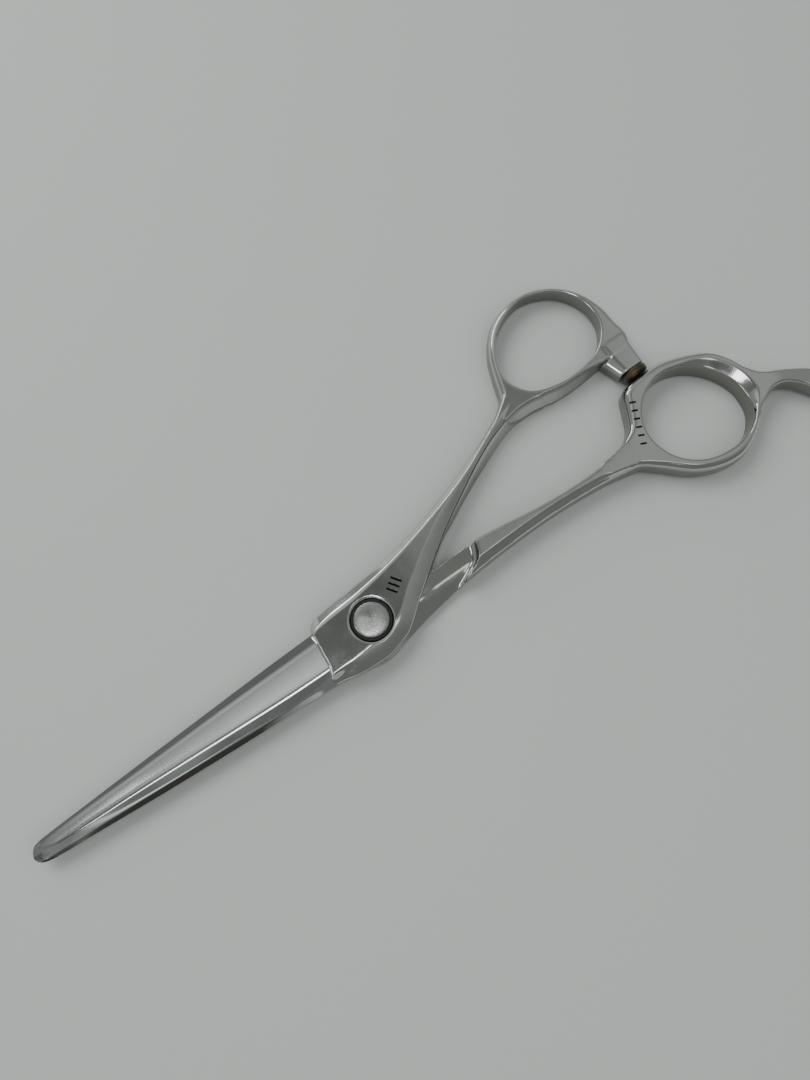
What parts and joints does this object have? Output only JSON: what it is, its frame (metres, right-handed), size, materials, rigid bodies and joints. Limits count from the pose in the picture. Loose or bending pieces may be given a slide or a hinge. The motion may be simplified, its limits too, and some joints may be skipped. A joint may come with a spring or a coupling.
{
  "type": "thinning shears",
  "caption": "Offset-handle thinning shears: a plain blade over a toothed blade on a screw pivot, with finger and thumb rings, a bumper between them and a curved finger rest.",
  "frame": {"origin": "on the pivot axis, at the outer face of the back nut, which is the plane that the closed shears rest on", "axes": "+X towards the blade tips, +Y towards the finger ring's side, +Z along the pivot axis, from the back nut to the screw head"},
  "size_m": [0.1746, 0.0567, 0.006],
  "materials": {
    "forged_steel": "satin and mirror polished stainless steel, lightly worn",
    "turned_steel": "turned stainless steel with fine circular marks",
    "spring_steel": "plain spring steel",
    "black_nylon": "matt black moulded nylon",
    "bronze": "sintered bronze",
    "brass": "turned brass",
    "amber_rubber": "dark amber translucent rubber"
  },
  "bodies": {
    "finger_side": {"finger_half": "forged_steel", "back_nut": "turned_steel"},
    "thumb_side": {"thumb_half": "forged_steel", "cup_washer": "black_nylon", "spring_washer": "spring_steel", "pivot_bush": "bronze", "bumper_pad": "amber_rubber", "bumper_stud": "brass"},
    "tension_screw": {"pivot_screw": "turned_steel"}
  },
  "joints": [
    {"name": "blade_pivot", "type": "hinge", "parent": "finger_side", "child": "thumb_side", "pos_m": [0, 0, 0.003], "axis": [0, 0, 1], "range_deg": [0, 90]},
    {"name": "tension_turn", "type": "hinge", "parent": "finger_side", "child": "tension_screw", "pos_m": [0, 0, 0.003], "axis": [0, 0, 1], "range_deg": [-45, 45]}
  ]
}
